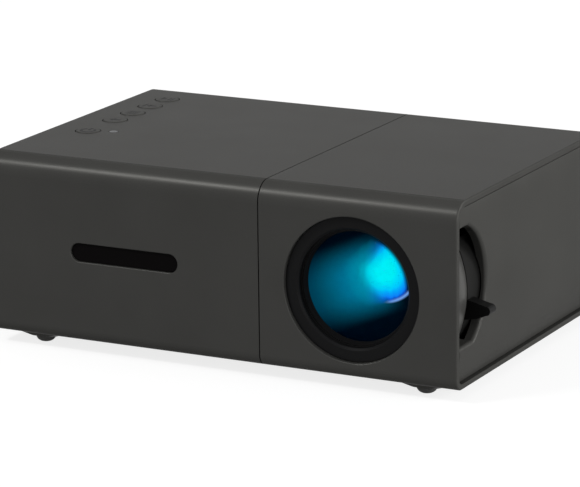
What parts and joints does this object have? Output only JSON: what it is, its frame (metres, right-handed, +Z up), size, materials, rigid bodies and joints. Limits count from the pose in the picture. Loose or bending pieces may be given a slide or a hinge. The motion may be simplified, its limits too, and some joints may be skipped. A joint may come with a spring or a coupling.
{
  "type": "mini projector",
  "caption": "Small box-shaped video projector with a round front lens, a side focus lever, top keys and rear sockets.",
  "frame": {"origin": "middle of the whole object's footprint, the lever included, on the surface it stands on", "axes": "+X towards the end panel with the focus lever, -Y out of the lens, +Z up"},
  "size_m": [0.1298, 0.086, 0.0481],
  "materials": {
    "shell": "satin grey paint on moulded plastic",
    "end_panel": "satin grey",
    "black_plastic": "fine matt black",
    "dark_plastic": "matt dark grey",
    "gloss_black": "gloss black",
    "lens_glass": "coated glass with blue and cyan reflections",
    "clear_plate": "clear",
    "display": "dark polarised glass",
    "ir_pane": "gloss dark, infrared-clear",
    "key_cap": "satin grey",
    "lamp_pipe": "milky clear",
    "foot_rubber": "soft grey",
    "steel": "plated",
    "socket_metal": "plated sheet",
    "brass": "turned",
    "sink_metal": "extruded",
    "led_board": "white-masked",
    "circuit_board": "green mask",
    "chip_black": "moulded",
    "flex_film": "amber film",
    "connector_cream": "moulded",
    "speaker_cone": "paper and frame"
  },
  "bodies": {
    "housing": {"main_sleeve": "shell", "lens_sleeve": "shell", "vent_panel": "end_panel", "focus_panel": "end_panel", "port_plate": "black_plastic", "lens_bezel": "black_plastic", "lens_tube": "black_plastic", "tube_screws": "steel", "optical_box": "black_plastic", "front_fresnel": "clear_plate", "lcd_panel": "display", "rear_fresnel": "clear_plate", "heat_glass": "clear_plate", "led_module": "led_board", "condenser_lens": "lens_glass", "condenser_holder": "black_plastic", "heat_sink": "sink_metal", "chassis": "dark_plastic", "main_board": "circuit_board", "board_parts": "chip_black", "display_flex": "flex_film", "flex_connector": "connector_cream", "ir_window": "ir_pane", "ir_board": "circuit_board", "ir_receiver": "chip_black", "keypad_board": "circuit_board", "key_switches": "steel", "status_lamp": "lamp_pipe", "keypad_screws": "steel", "fan_frame": "black_plastic", "fan_screws": "steel", "speaker": "speaker_cone", "hdmi_socket": "socket_metal", "usb_socket": "socket_metal", "card_socket": "socket_metal", "av_jack": "black_plastic", "dc_jack": "black_plastic", "tripod_insert": "brass", "feet": "foot_rubber", "base_screws": "steel", "board_screws": "steel"},
    "focus_ring": {"focus_ring": "dark_plastic", "focus_lever": "gloss_black"},
    "lens_cell": {"lens_cell": "black_plastic", "cam_pins": "steel", "lens_retainer": "black_plastic", "front_lens": "lens_glass", "middle_lens": "lens_glass", "rear_lens": "lens_glass"},
    "fan_rotor": {"fan_rotor": "black_plastic"},
    "power_key": {"power_key": "key_cap"},
    "back_key": {"back_key": "key_cap"},
    "menu_key": {"menu_key": "key_cap"},
    "source_key": {"source_key": "key_cap"},
    "play_key": {"play_key": "key_cap"}
  },
  "joints": [
    {"name": "focus_turn", "type": "hinge", "parent": "housing", "child": "focus_ring", "pos_m": [0.0338, -0.031, 0.0245], "axis": [0, -1, 0], "range_deg": [-1, 26]},
    {"name": "lens_slide", "type": "slide", "parent": "housing", "child": "lens_cell", "axis": [0, 1, 0], "range_m": [-0.00009, 0.00221]},
    {"name": "fan_spin", "type": "hinge", "parent": "housing", "child": "fan_rotor", "pos_m": [-0.06245, 0.017, 0.0227], "axis": [1, 0, 0], "continuous": true},
    {"name": "power_press", "type": "slide", "parent": "housing", "child": "power_key", "axis": [0, 0, -1], "range_m": [0, 0.0004], "stiffness_N_per_m": 600, "springref_m": -0.0005},
    {"name": "back_press", "type": "slide", "parent": "housing", "child": "back_key", "axis": [0, 0, -1], "range_m": [0, 0.0004], "stiffness_N_per_m": 600, "springref_m": -0.0005},
    {"name": "menu_press", "type": "slide", "parent": "housing", "child": "menu_key", "axis": [0, 0, -1], "range_m": [0, 0.0004], "stiffness_N_per_m": 600, "springref_m": -0.0005},
    {"name": "source_press", "type": "slide", "parent": "housing", "child": "source_key", "axis": [0, 0, -1], "range_m": [0, 0.0004], "stiffness_N_per_m": 600, "springref_m": -0.0005},
    {"name": "play_press", "type": "slide", "parent": "housing", "child": "play_key", "axis": [0, 0, -1], "range_m": [0, 0.0004], "stiffness_N_per_m": 600, "springref_m": -0.0005}
  ],
  "couplings": [
    {"joint": "focus_turn", "follows": "lens_slide", "rad_per_m": 205.33}
  ]
}
